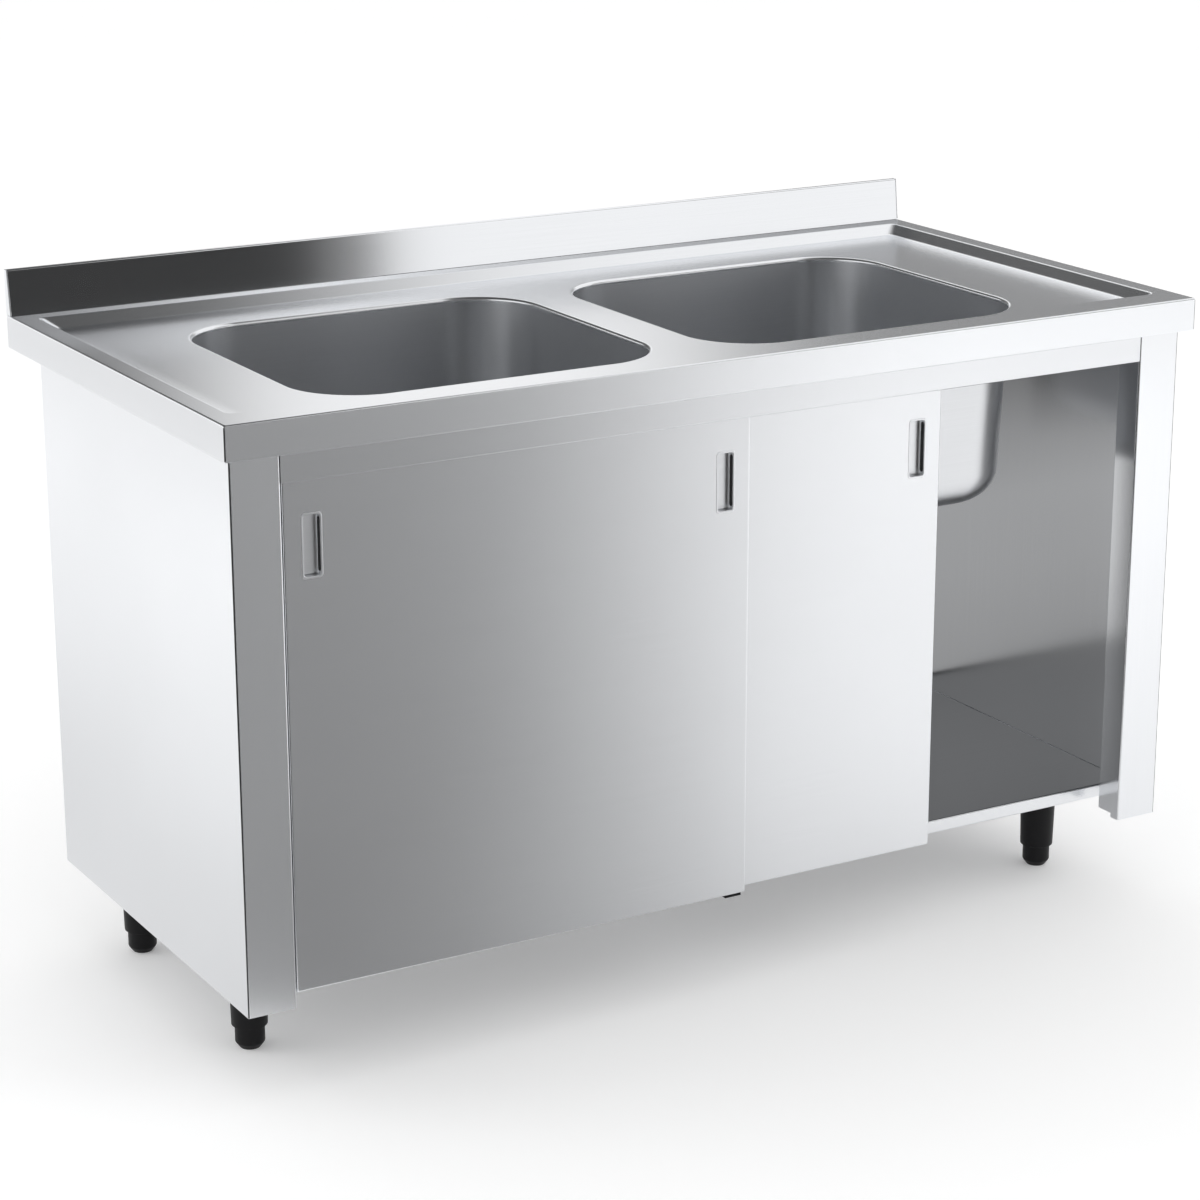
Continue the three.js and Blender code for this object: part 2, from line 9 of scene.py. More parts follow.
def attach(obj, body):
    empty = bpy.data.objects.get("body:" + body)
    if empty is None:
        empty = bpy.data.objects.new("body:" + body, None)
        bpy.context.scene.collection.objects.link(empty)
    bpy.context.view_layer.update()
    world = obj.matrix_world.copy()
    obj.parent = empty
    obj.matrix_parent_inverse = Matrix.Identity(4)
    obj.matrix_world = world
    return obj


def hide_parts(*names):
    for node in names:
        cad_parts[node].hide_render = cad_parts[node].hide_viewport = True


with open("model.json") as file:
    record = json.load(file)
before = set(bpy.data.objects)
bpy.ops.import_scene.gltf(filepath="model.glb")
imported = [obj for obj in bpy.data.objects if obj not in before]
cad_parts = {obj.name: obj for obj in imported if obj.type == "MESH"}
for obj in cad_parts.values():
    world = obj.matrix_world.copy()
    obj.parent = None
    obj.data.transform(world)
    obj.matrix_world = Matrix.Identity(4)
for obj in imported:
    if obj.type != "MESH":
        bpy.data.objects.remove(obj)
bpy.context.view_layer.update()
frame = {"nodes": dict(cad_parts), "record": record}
nodes = frame["nodes"]
scene = bpy.context.scene
scene.view_settings.view_transform = "Standard"

MM = 0.001
HALF_WIDTH = 700.0
HALF_DEPTH = 350.0


def at(x, y, z):
    """A point in metres, from millimetres off the unit's front left corner on the floor."""
    return Vector(((x - HALF_WIDTH) * MM, (y - HALF_DEPTH) * MM, z * MM))


# ------------------------------------------------------------------ camera

CAMERA_AT = Vector((-2.075, -3.573, 1.706))
CAMERA_YAW = math.radians(30.0)
CAMERA_PITCH = math.radians(16.95)
CAMERA_ROLL = math.radians(0.11)
LENS = 96.0
SENSOR = 36.0
CLIP_NEAR, CLIP_FAR = 0.05, 200.0


def make_camera():
    data = bpy.data.cameras.new("camera")
    data.lens = LENS
    data.sensor_width = SENSOR
    data.clip_start = CLIP_NEAR
    data.clip_end = CLIP_FAR
    camera = bpy.data.objects.new("camera", data)
    scene.collection.objects.link(camera)
    ahead = Vector((
        math.sin(CAMERA_YAW) * math.cos(CAMERA_PITCH),
        math.cos(CAMERA_YAW) * math.cos(CAMERA_PITCH),
        -math.sin(CAMERA_PITCH),
    ))
    level = Vector((math.cos(CAMERA_YAW), -math.sin(CAMERA_YAW), 0))
    down = ahead.cross(level)
    right = level * math.cos(CAMERA_ROLL) + down * math.sin(CAMERA_ROLL)
    up = level * math.sin(CAMERA_ROLL) - down * math.cos(CAMERA_ROLL)
    turn = Matrix((right, up, -ahead)).transposed().to_4x4()
    camera.matrix_world = Matrix.Translation(CAMERA_AT) @ turn
    scene.camera = camera


make_camera()


# ------------------------------------------------------------------ node materials

class Nodes:
    """Short names for building one node tree."""

    def __init__(self, tree):
        self.tree = tree

    def new(self, kind, **values):
        node = self.tree.nodes.new(kind)
        for key, value in values.items():
            setattr(node, key, value)
        return node

    def link(self, a, b):
        self.tree.links.new(a, b)

    def put(self, node, name, value):
        node.inputs[name].default_value = value

    def coords(self, scale, turn=(0, 0, 0)):
        place = self.new("ShaderNodeTexCoord")
        mapping = self.new("ShaderNodeMapping")
        self.put(mapping, "Scale", scale)
        self.put(mapping, "Rotation", turn)
        self.link(place.outputs["Object"], mapping.inputs["Vector"])
        return mapping.outputs["Vector"]

    def noise(self, vector, scale, detail=4.0, rough=0.55):
        node = self.new("ShaderNodeTexNoise")
        self.put(node, "Scale", scale)
        self.put(node, "Detail", detail)
        self.put(node, "Roughness", rough)
        self.link(vector, node.inputs["Vector"])
        return node.outputs["Fac"]

    def ramp(self, fac, stops, smooth="EASE"):
        node = self.new("ShaderNodeValToRGB")
        band = node.color_ramp
        band.interpolation = smooth
        while len(band.elements) < len(stops):
            band.elements.new(0.5)
        for element, (at, colour) in zip(band.elements, stops):
            element.position = at
            if isinstance(colour, (int, float)):
                colour = (colour, colour, colour)
            element.color = (*colour, 1)
        self.link(fac, node.inputs["Fac"])
        return node.outputs["Color"]

    def range(self, fac, low, high):
        node = self.new("ShaderNodeMapRange")
        self.put(node, "To Min", low)
        self.put(node, "To Max", high)
        self.link(fac, node.inputs["Value"])
        return node.outputs["Result"]

    def blend(self, a, b, mode="MULTIPLY", fac=1.0):
        node = self.new("ShaderNodeMix", data_type="RGBA", blend_type=mode)
        node.inputs[0].default_value = fac
        self.link(a, node.inputs[6])
        self.link(b, node.inputs[7])
        return node.outputs[2]

    def bump(self, height, strength, distance):
        node = self.new("ShaderNodeBump")
        self.put(node, "Strength", strength)
        self.put(node, "Distance", distance)
        self.link(height, node.inputs["Height"])
        return node.outputs["Normal"]


def start_material(name):
    made = bpy.data.materials.new(name)
    made.use_nodes = True
    tree = Nodes(made.node_tree)
    made.node_tree.nodes.clear()
    shader = tree.new("ShaderNodeBsdfPrincipled")
    out = tree.new("ShaderNodeOutputMaterial")
    tree.link(shader.outputs["BSDF"], out.inputs["Surface"])
    return made, tree, shader


GRAIN_LONG = 4.0
GRAIN_ACROSS = 900.0
GRAIN_DEPTH = 0.00002
STEEL_TINT = (0.962, 0.976, 1.0)
TONE_BELOW, TONE_ABOVE = 0.012, 0.008
GRIT_SPREAD = 0.08
GRIT_STRENGTH = 0.3


def steel(name, grain, tone=0.92, rough=0.22, aniso=0.3, spread=0.012, scratches=0.012):
    """Satin sheet steel. grain is the direction of its fine brushing, as an axis letter."""
    made, tree, shader = start_material(name)
    scale = [GRAIN_ACROSS] * 3
    scale["XYZ".index(grain)] = GRAIN_LONG
    streaks = tree.noise(tree.coords(scale), 1.0, 3.0, 0.6)
    clouds = tree.noise(tree.coords((1, 1, 1)), 3.0, 3.0, 0.5)
    low, high = tone - TONE_BELOW, tone + TONE_ABOVE
    streak_tone = tree.ramp(
        streaks, [(0.3, [low * c for c in STEEL_TINT]), (0.7, [high * c for c in STEEL_TINT])]
    )
    cloud_tone = tree.ramp(clouds, [(0.3, 0.98), (0.7, 1.0)])
    tree.link(tree.blend(streak_tone, cloud_tone), shader.inputs["Base Color"])
    tree.link(tree.range(streaks, rough - spread, rough + spread), shader.inputs["Roughness"])
    tree.link(tree.bump(streaks, scratches, GRAIN_DEPTH), shader.inputs["Normal"])
    tree.put(shader, "Metallic", 1.0)
    tree.put(shader, "Anisotropic", aniso)
    along = tree.new("ShaderNodeCombineXYZ")
    tree.put(along, grain, 1.0)
    tree.link(along.outputs["Vector"], shader.inputs["Tangent"])
    return made


def plain(name, colour, rough, metal=0.0, grit=60.0, depth=0.0001, gloss=0.5):
    """Moulded or plated stuff: a base colour with a little cloud, and a fine grit in its gloss."""
    made, tree, shader = start_material(name)
    grains = tree.noise(tree.coords((1, 1, 1)), grit, 4.0, 0.6)
    dark = [c * 0.85 for c in colour]
    light = [min(1.0, c * 1.12) for c in colour]
    tree.link(tree.ramp(grains, [(0.3, dark), (0.7, light)]), shader.inputs["Base Color"])
    gloss_range = tree.range(grains, rough - GRIT_SPREAD, rough + GRIT_SPREAD)
    tree.link(gloss_range, shader.inputs["Roughness"])
    tree.link(tree.bump(grains, GRIT_STRENGTH, depth), shader.inputs["Normal"])
    tree.put(shader, "Metallic", metal)
    tree.put(shader, "Specular IOR Level", gloss)
    return made


front_steel = steel("steel_front", "X", tone=0.84)
# Painted light: the left wall's copy of the steel, set lighter; the splashback's ends use it too.
lit_side_steel = steel("steel_side_painted_light", "Z", tone=0.97, rough=0.26)
top_steel = steel("steel_top", "X", rough=0.22)
splash_steel = steel("steel_splash", "X", rough=0.075, aniso=0.2)
bowl_steel = steel(
    "steel_bowl", "X", tone=0.78, rough=0.32, aniso=0.0, spread=0.004, scratches=0.003
)
# Painted shade: the shelf's steel is set dark for the shade inside the cabinet.
shaded_shelf_steel = steel("steel_shelf_painted_shade", "X", tone=0.41, rough=0.3, aniso=0.2)
grip_steel = steel("steel_grip", "X", tone=0.92, rough=0.34, aniso=0.0)
# Near-black steel, a painted reflection: the dark line that the rounded front corners reflect.
dark_reflection_steel = steel("steel_painted_corner_reflection", "Z", tone=0.09, rough=0.4, aniso=0.0)
# Painted shade: the right wall's copy of the steel, set darker.
shaded_right_steel = steel("steel_right_painted_shade", "Z", tone=0.86, rough=0.15, aniso=0.1)
inner_steel = steel("steel_inner", "X", tone=0.62, rough=0.38, aniso=0.2)
zinc_steel = plain("zinc_plate", (0.62, 0.63, 0.65), 0.42, 1.0, 45.0)
polished_steel = plain("steel_polished", (0.82, 0.82, 0.83), 0.14, 1.0, 30.0, 0.00002)
black_plastic = plain("plastic_black", (0.006, 0.006, 0.007), 0.45, 0.0, 300.0, 0.0002, gloss=0.2)
# Near-black paint that stands for the shade in the pulls' finger slots.
painted_slot_shade = plain("painted_slot_shade", (0.02, 0.02, 0.022), 0.6, 0.0, 200.0)
white_nylon = plain("nylon_white", (0.80, 0.79, 0.74), 0.4, 0.0, 120.0)
black_rubber = plain("rubber_black", (0.02, 0.02, 0.02), 0.75, 0.0, 240.0, 0.0003)


# ------------------------------------------------------------------ mesh helpers

CORNER_STEPS = 8
BEND_STEPS = 5
TURN_STEPS = 56
SHARP_ANGLE = 35.0
BEVEL_ANGLE = 50.0
WELD_REACH = 1e-6
FLAT_ANGLE = 1.0

SLOT_OF = {entry["node"]: entry["material_slot"] for entry in frame["record"]["subparts"]}
BODY_OF = {
    node: body for body, held in frame["record"]["behaviour"]["bodies"].items() for node in held
}


class Sheet:
    """Points and faces of one piece, with faces that turn anticlockwise seen from outside."""

    def __init__(self):
        self.points = []
        self.faces = []

    def add(self, points):
        first = len(self.points)
        self.points.extend(points)
        return list(range(first, len(self.points)))

    def bridge(self, before, after, closed=True):
        count = len(before)
        for i in range(count if closed else count - 1):
            j = (i + 1) % count
            self.faces.append((before[i], before[j], after[j], after[i]))

    def rings(self, rings):
        ids = [self.add(ring) for ring in rings]
        for before, after in zip(ids, ids[1:]):
            self.bridge(before, after)
        return ids

    def plate(self, loops, facing):
        """A flat face with holes. The first loop is its outline."""
        flat = [i for loop in loops for i in loop]
        for triangle in tessellate_polygon([[self.points[i] for i in loop] for loop in loops]):
            a, b, c = (flat[k] for k in triangle)
            normal = (self.points[b] - self.points[a]).cross(self.points[c] - self.points[a])
            self.faces.append((a, b, c) if normal.dot(facing) > 0 else (a, c, b))

    def box(self, x0, x1, y0, y1, z0, z1):
        low = [at(x0, y0, z0), at(x1, y0, z0), at(x1, y1, z0), at(x0, y1, z0)]
        high = [at(x0, y0, z1), at(x1, y0, z1), at(x1, y1, z1), at(x0, y1, z1)]
        a, b = self.rings([low, high])
        self.faces.append(tuple(reversed(a)))
        self.faces.append(tuple(b))


def piece(name, made, material, node, thickness=0.0, sharp=SHARP_ANGLE, replaces=True, edge=0.0):
    """Makes the object with the material given, gives it the node's body, and lets it stand for the
    node.
    """
    mesh = bpy.data.meshes.new(name)
    mesh.from_pydata(made.points, [], made.faces)
    mesh.materials.append(material)
    obj = bpy.data.objects.new(name, mesh)
    scene.collection.objects.link(obj)
    if thickness:
        shell = obj.modifiers.new("thickness", "SOLIDIFY")
        shell.thickness = thickness * MM
        shell.offset = -1.0
        shell.use_even_offset = True
    if edge:
        soften(obj, edge)
    settle(obj, sharp)
    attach(obj, BODY_OF[node])
    if replaces:
        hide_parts(node)
    return obj


def soften(obj, width):
    bevel = obj.modifiers.new("edges", "BEVEL")
    bevel.width = width * MM
    bevel.segments = 3
    bevel.limit_method = "ANGLE"
    bevel.angle_limit = math.radians(BEVEL_ANGLE)
    bevel.use_clamp_overlap = True


def settle(obj, sharp=SHARP_ANGLE):
    """Turns the modifiers into faces, so that the sharp edges are marked on the final shape."""
    shaped = bpy.data.meshes.new_from_object(
        obj.evaluated_get(bpy.context.evaluated_depsgraph_get())
    )
    first = obj.data
    name = first.name
    obj.modifiers.clear()
    obj.data = shaped
    bpy.data.meshes.remove(first)
    shaped.name = name
    shaped.shade_smooth()
    shaped.set_sharp_from_angle(angle=math.radians(sharp))
    even = obj.modifiers.new("flat faces stay flat", "WEIGHTED_NORMAL")
    even.keep_sharp = True
    even.weight = 70


def rounded(x0, x1, y0, y1, radius, steps=CORNER_STEPS):
    """A rectangle with rounded corners, as (x, y) pairs anticlockwise from its right front."""
    corners = (
        (x1 - radius, y0 + radius, -90),
        (x1 - radius, y1 - radius, 0),
        (x0 + radius, y1 - radius, 90),
        (x0 + radius, y0 + radius, 180),
    )
    out = []
    for cx, cy, first in corners:
        for i in range(steps + 1):
            turn = math.radians(first + 90 * i / steps)
            out.append((cx + radius * math.cos(turn), cy + radius * math.sin(turn)))
    return out


def fold(path, thickness, radius, steps=BEND_STEPS):
    """Both faces of a folded sheet, with the thickness to the left of its path."""
    if thickness < 0:
        path, thickness = path[::-1], -thickness
    points = [Vector(p) for p in path]
    along = [(b - a).normalized() for a, b in zip(points, points[1:])]
    across = [Vector((-d.y, d.x)) for d in along]
    spine = []
    bend = radius - thickness / 2
    for i, point in enumerate(points):
        before = across[max(i - 1, 0)]
        after = across[min(i, len(across) - 1)]
        mitre = before + after
        middle = point + mitre * (thickness / mitre.length_squared)
        if i in (0, len(points) - 1):
            spine.append((middle, before if i else after))
            continue
        angle = before.angle(after)
        side = 1 if before.x * after.y - before.y * after.x > 0 else -1
        start = middle - along[i - 1] * bend * math.tan(angle / 2)
        centre = start + before * side * bend
        for k in range(steps + 1):
            turn = side * angle * k / steps
            c, s = math.cos(turn), math.sin(turn)
            normal = Vector((before.x * c - before.y * s, before.x * s + before.y * c))
            spine.append((centre - normal * side * bend, normal))
    outer = [p - n * (thickness / 2) for p, n in spine]
    inner = [p + n * (thickness / 2) for p, n in spine]
    return outer, inner


def sweep(made, section, place, a, b):
    """Runs a folded section from a to b. place turns (u, v, w) into a point."""
    outer, inner = section
    count = len(outer)
    rows = {}
    for w in (a, b):
        rows[w, 0] = made.add([place(p.x, p.y, w) for p in outer])
        rows[w, 1] = made.add([place(p.x, p.y, w) for p in inner])
    first = len(made.faces)
    made.bridge(rows[a, 0], rows[b, 0], False)
    made.bridge(rows[b, 1], rows[a, 1], False)
    made.bridge(rows[b, 0], rows[b, 1], False)
    made.bridge(rows[a, 1], rows[a, 0], False)
    for i in (0, count - 1):
        end = (rows[a, 0][i], rows[a, 1][i], rows[b, 1][i], rows[b, 0][i])
        made.faces.append(end if i == 0 else end[::-1])
    # The strip's own turning decides which way its faces look.
    ends = [made.points[k] for k in (rows[a, 0][0], rows[a, 0][1], rows[b, 0][0])]
    inward = made.points[rows[a, 1][0]] - ends[0]
    if (ends[1] - ends[0]).cross(ends[2] - ends[0]).dot(inward) > 0:
        made.faces[first:] = [face[::-1] for face in made.faces[first:]]


def along_x(u, v, w):
    return at(w, u, v)


def along_y(u, v, w):
    return at(u, w, v)


def folded_piece(name, node, material, path, thickness, place, a, b, radius=2.5, edge=0.25):
    made = Sheet()
    sweep(made, fold(path, thickness, radius), place, a, b)
    return piece(name, made, material, node, edge=edge)


def lathe(made, profile, cx, cy):
    """A turned piece round a vertical line. The profile gives its radii and heights."""
    ids = []
    for radius, height in profile:
        if radius == 0:
            ids.append(made.add([at(cx, cy, height)]))
            continue
        ring = []
        for i in range(TURN_STEPS):
            turn = 2 * math.pi * i / TURN_STEPS
            x, y = cx + radius * math.cos(turn), cy + radius * math.sin(turn)
            ring.append(at(x, y, height))
        ids.append(made.add(ring))
    for low, high in zip(ids, ids[1:]):
        if len(low) == 1:
            fan = [(low[0], high[(i + 1) % TURN_STEPS], high[i]) for i in range(TURN_STEPS)]
            made.faces += fan
        elif len(high) == 1:
            fan = [(low[i], low[(i + 1) % TURN_STEPS], high[0]) for i in range(TURN_STEPS)]
            made.faces += fan
        else:
            made.bridge(low, high)


def softened(node, name, material, radius=0.4):
    """A copy of a CAD node with its cut edges rounded off, in the node's place."""
    mesh = nodes[node].data.copy()
    mesh.name = name
    mesh.materials.clear()
    mesh.materials.append(material)
    obj = bpy.data.objects.new(name, mesh)
    scene.collection.objects.link(obj)
    weld = obj.modifiers.new("joined faces", "WELD")
    weld.merge_threshold = WELD_REACH
    flat = obj.modifiers.new("whole faces", "DECIMATE")
    flat.decimate_type = "DISSOLVE"
    flat.angle_limit = math.radians(FLAT_ANGLE)
    soften(obj, radius)
    settle(obj)
    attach(obj, BODY_OF[node])
    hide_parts(node)


# ------------------------------------------------------------------ worktop

WIDTH, DEPTH, DECK = 1400.0, 700.0, 850.0
APRON_BOTTOM = 806.0
HEM = 10.0
SIDE_RIM, FRONT_RIM, REAR_RIM = 28.0, 50.0, 42.0
RECESS_DEPTH = 14.0
FLOOR_LEVEL = DECK - RECESS_DEPTH
SLOPE_ANGLE = math.radians(40.0)
DISH_ANGLE = math.radians(3.0)    # where the slope passes into the long shallow dish
SHEET = 1.5
APRON_FOLD = 2.6
HEM_FOLD = 2.0
RIM_FOLD = 5.0
SLOPE_FOOT_FOLD = 8.0
DISH_FOLD = 400.0
FRONT_SHARE = 0.55                # the front slope's run beside the others', for lack of room

BOWLS = {"left": 414.0, "right": 974.0}
BOWL_Y = 335.0
BOWL_HALF = (244.0, 229.0)
BOWL_CORNER = 94.0
BOWL_DEEP = 265.0
BOWL_TAPER = 0.035
BOWL_FILLET = 45.0
ROLL = 4.5
SEAM_DEPTH = 6.5
BOWL_STEPS = 18
FILLET_STEPS = 10
ROLL_STEPS = 8
ROLL_MARGIN = 2.0
WALL_START = 12.0
BOTTOM_SHARE = 0.96
WASTE_RADIUS = 26.0
TOP_CORNER = 2.2
HEM_CORNER = 0.6
RECESS_CORNER = 9.0
TOP_THICKNESS = 1.4


def deck_ring(side, front, rear, z, corner):
    """A rectangle set in from the worktop's ends, front and rear."""
    flat = rounded(side, WIDTH - side, front, DEPTH - rear, corner)
    return [at(x, y, z) for x, y in flat]


def bowl_ring(x, level, offset=0.0, drop=0.0):
    """The bowl's outline at a level, drop below the recess floor, widened by offset."""
    draw = 1 - BOWL_TAPER * drop / BOWL_DEEP
    across, along = ((half + offset) * draw for half in BOWL_HALF)
    corner = (BOWL_CORNER + offset) * draw
    flat = rounded(x - across, x + across, BOWL_Y - along, BOWL_Y + along, corner, BOWL_STEPS)
    return [at(px, py, level) for px, py in flat]


def recess_profile():
    """Runs and drops from the rim to the recess floor: a fold, a slope, its foot, and a dish."""
    points = []
    run = drop = 0.0

    def arc(radius, first, last, steps):
        nonlocal run, drop
        for i in range(1, steps + 1):
            turn = first + (last - first) * i / steps
            size = abs(radius)
            x = size * (math.sin(turn) - math.sin(first))
            z = size * (math.cos(first) - math.cos(turn))
            points.append((run + abs(x), drop + abs(z)))
        run, drop = points[-1]

    def arc_drop(radius, first, last):
        return radius * abs(math.cos(first) - math.cos(last))

    points.append((0.0, 0.0))
    arc(RIM_FOLD, 0.0, SLOPE_ANGLE, BEND_STEPS)
    folds = (
        arc_drop(RIM_FOLD, 0.0, SLOPE_ANGLE) + arc_drop(SLOPE_FOOT_FOLD, DISH_ANGLE, SLOPE_ANGLE)
        + arc_drop(DISH_FOLD, 0.0, DISH_ANGLE)
    )
    straight = (RECESS_DEPTH - folds) / math.sin(SLOPE_ANGLE)
    run += straight * math.cos(SLOPE_ANGLE)
    drop += straight * math.sin(SLOPE_ANGLE)
    points.append((run, drop))
    arc(SLOPE_FOOT_FOLD, SLOPE_ANGLE, DISH_ANGLE, BEND_STEPS)
    arc(DISH_FOLD, DISH_ANGLE, 0.0, BEND_STEPS)
    return points


def worktop():
    rings = [deck_ring(HEM, HEM, HEM, APRON_BOTTOM, HEM_CORNER)]
    for i in range(BEND_STEPS + 1):
        turn = math.pi / 2 * i / BEND_STEPS
        inset = HEM_FOLD * (1 - math.sin(turn))
        z = APRON_BOTTOM + HEM_FOLD * (1 - math.cos(turn))
        rings.append(deck_ring(inset, inset, inset, z, TOP_CORNER))
    for i in range(BEND_STEPS + 1):
        turn = math.pi / 2 * i / BEND_STEPS
        inset = APRON_FOLD * (1 - math.cos(turn))
        z = DECK - APRON_FOLD * (1 - math.sin(turn))
        rings.append(deck_ring(inset, inset, inset, z, TOP_CORNER))

    def inner(run, drop):
        side, front, rear = SIDE_RIM + run, FRONT_RIM + run * FRONT_SHARE, REAR_RIM + run
        return deck_ring(side, front, rear, DECK - drop, RECESS_CORNER + run / 8)

    reach = RIM_FOLD * math.tan(SLOPE_ANGLE / 2)
    for run, drop in recess_profile():
        rings.append(inner(run - reach, drop))
    rings.append(inner(run + 1.0, drop))

    made = Sheet()
    outline = made.rings(rings)[-1]
    holes = []
    lean = BOWL_TAPER * BOWL_HALF[0] / BOWL_DEEP
    centre = ROLL * (math.hypot(1, lean) - lean)
    tilt = math.atan(lean)
    for x in BOWLS.values():
        roll = [bowl_ring(x, FLOOR_LEVEL, centre + ROLL_MARGIN)]
        for i in range(ROLL_STEPS + 1):
            turn = (math.pi / 2 - tilt) * i / ROLL_STEPS
            level = FLOOR_LEVEL - ROLL * (1 - math.cos(turn))
            roll.append(bowl_ring(x, level, centre - ROLL * math.sin(turn)))
        roll.append(bowl_ring(x, FLOOR_LEVEL - SEAM_DEPTH, 0, SEAM_DEPTH))
        ids = made.rings(roll)
        holes.append(ids[0])
    made.plate([outline] + holes, Vector((0, 0, 1)))
    piece("worktop_sheet", made, top_steel, "worktop", TOP_THICKNESS)


def bowl(side):
    x = BOWLS[side]
    made = Sheet()
    straight = (SEAM_DEPTH, WALL_START, BOWL_DEEP - BOWL_FILLET)
    rings = [bowl_ring(x, FLOOR_LEVEL - drop, 0, drop) for drop in straight]
    for i in range(1, FILLET_STEPS + 1):
        turn = math.pi / 2 * i / FILLET_STEPS
        drop = BOWL_DEEP - BOWL_FILLET * (1 - math.sin(turn))
        rings.append(bowl_ring(x, FLOOR_LEVEL - drop, -BOWL_FILLET * (1 - math.cos(turn)), drop))
    bottom = FLOOR_LEVEL - BOWL_DEEP
    last = rings[-1]
    middle = at(x, BOWL_Y, bottom)
    for share in (BOTTOM_SHARE, 0.0):
        ring = []
        for p in last:
            away = p - middle
            edge = away.normalized() * WASTE_RADIUS * MM
            ring.append(middle + edge + (away - edge) * share)
        rings.append(ring)
    made.rings(rings)
    piece("bowl_tub_" + side, made, bowl_steel, "bowl_" + side, SHEET)


worktop()
for bowl_side in BOWLS:
    bowl(bowl_side)


# ------------------------------------------------------------------ splashback

SPLASH_FRONT, SPLASH_BACK = 685.0, 699.75
SPLASH_FOOT, SPLASH_TOP = 850.3, 910.0
SPLASH_LEAN = 7.0
SPLASH_END = 1.8
SPLASH_FOLD = 2.2

splash_path = [
    (SPLASH_FRONT, SPLASH_FOOT), (SPLASH_FRONT + SPLASH_LEAN, SPLASH_TOP),
    (SPLASH_BACK, SPLASH_TOP), (SPLASH_BACK, SPLASH_FOOT),
]
folded_piece(
    "splash_sheet", "splashback", splash_steel, splash_path, -SHEET,
    along_x, SPLASH_END, WIDTH - SPLASH_END, SPLASH_FOLD, 0.2,
)
for side, x in (("left", 0.0), ("right", WIDTH - SHEET)):
    cap = Sheet()
    near, far = cap.rings([[at(end, y, z) for y, z in splash_path] for end in (x, x + SHEET)])
    cap.faces += [tuple(reversed(near)), tuple(far)]
    cap.faces = [face[::-1] for face in cap.faces]
    piece("splash_end_" + side, cap, lit_side_steel, "splashback_end_" + side, edge=0.5)


# ------------------------------------------------------------------ cabinet

CABINET_BOTTOM = 118.0
FRAME_TOP = 834.2
NOTCH_TOP = 124.0
RAIL_REAR = 575.0
SEAT = 0.3
PANEL_OUT, PANEL_FRONT, PANEL_REAR = 12.0, 18.0, 616.0
PANEL_REAR_LIP = 32.0
STILE_EDGE = 75.5
RETURN_REAR, RETURN_LIP = 62.0, 63.5
RETURN_FOOT = 34.0
PANEL_FOLD = 2.4
FLANGE_NEAR, FLANGE_FAR = 14.0, 58.0
INNER_END = 13.8
INNER_REAR = 612.7
RAIL_END = 75.8
RAIL_TOP_REAR, RAIL_BOTTOM, RAIL_HEM = 83.0, 768.0, 21.4
REAR_RAIL_BOTTOM = 774.2
SHELF_TOP, SHELF_LIP, SHELF_FRONT, SHELF_HEM = 147.0, 128.0, 85.0, 95.0
SHELF_END = 14.6
BEARERS = (("left", 104.0), ("middle", 694.0), ("right", 1290.0))
BEARER_HALF = BEARER_DROP = 20
BEARER_FRONT = 83.3
STIFFENERS = (("left", 84.5), ("middle", 700.0), ("right", 1315.5))
STIFFENER_TOP = 145.2
STIFFENER_DROP = 17
STIFFENER_HALF, STIFFENER_REACH = 30, 45
STIFFENER_FRONT, STIFFENER_REAR = 110.0, 597.7


def side_panel(side):
    def mirror(u, v, w):
        return at(u if side == "left" else WIDTH - u, v, w)

    back = [
        (PANEL_REAR_LIP, PANEL_REAR), (PANEL_OUT, PANEL_REAR),
        (PANEL_OUT, PANEL_FRONT), (STILE_EDGE, PANEL_FRONT),
    ]
    whole = back + [(STILE_EDGE, RETURN_REAR), (RETURN_LIP, RETURN_REAR)]
    foot_path = back + [(STILE_EDGE, RETURN_FOOT)]
    made = Sheet()
    sweep(made, fold(whole, SHEET, PANEL_FOLD), mirror, NOTCH_TOP, FRAME_TOP)
    sweep(made, fold(foot_path, SHEET, PANEL_FOLD), mirror, CABINET_BOTTOM, NOTCH_TOP)
    x0, x1 = FLANGE_NEAR, FLANGE_FAR
    if side == "right":
        x0, x1 = WIDTH - x1, WIDTH - x0
    made.box(x0, x1, RETURN_LIP, RAIL_REAR - SEAT, FRAME_TOP - SHEET, FRAME_TOP)
    # Painted light and shade: the left wall gets the lighter copy of the steel, and the right wall
    # the darker one.
    material = lit_side_steel if side == "left" else shaded_right_steel
    piece("side_wall_" + side, made, material, "side_panel_" + side)


for side in ("left", "right"):
    side_panel(side)

rail_path = [
    (RAIL_TOP_REAR, FRAME_TOP), (PANEL_FRONT, FRAME_TOP),
    (PANEL_FRONT, RAIL_BOTTOM), (RAIL_HEM, RAIL_BOTTOM),
]
folded_piece(
    "rail_front", "front_rail", front_steel, rail_path, SHEET,
    along_x, RAIL_END, WIDTH - RAIL_END, 2.2,
)
rear_path = [(RAIL_REAR, FRAME_TOP), (INNER_REAR, FRAME_TOP), (INNER_REAR, REAR_RAIL_BOTTOM)]
folded_piece(
    "rail_rear", "rear_rail", inner_steel, rear_path, -SHEET,
    along_x, INNER_END, WIDTH - INNER_END,
)
shelf_path = [
    (SHELF_HEM, SHELF_LIP), (SHELF_FRONT, SHELF_LIP), (SHELF_FRONT, SHELF_TOP),
    (INNER_REAR, SHELF_TOP), (INNER_REAR, SHELF_LIP),
]
shelf_floor = folded_piece(
    "shelf_floor", "shelf", shaded_shelf_steel, shelf_path, -SHEET,
    along_x, SHELF_END, WIDTH - SHELF_END,
)
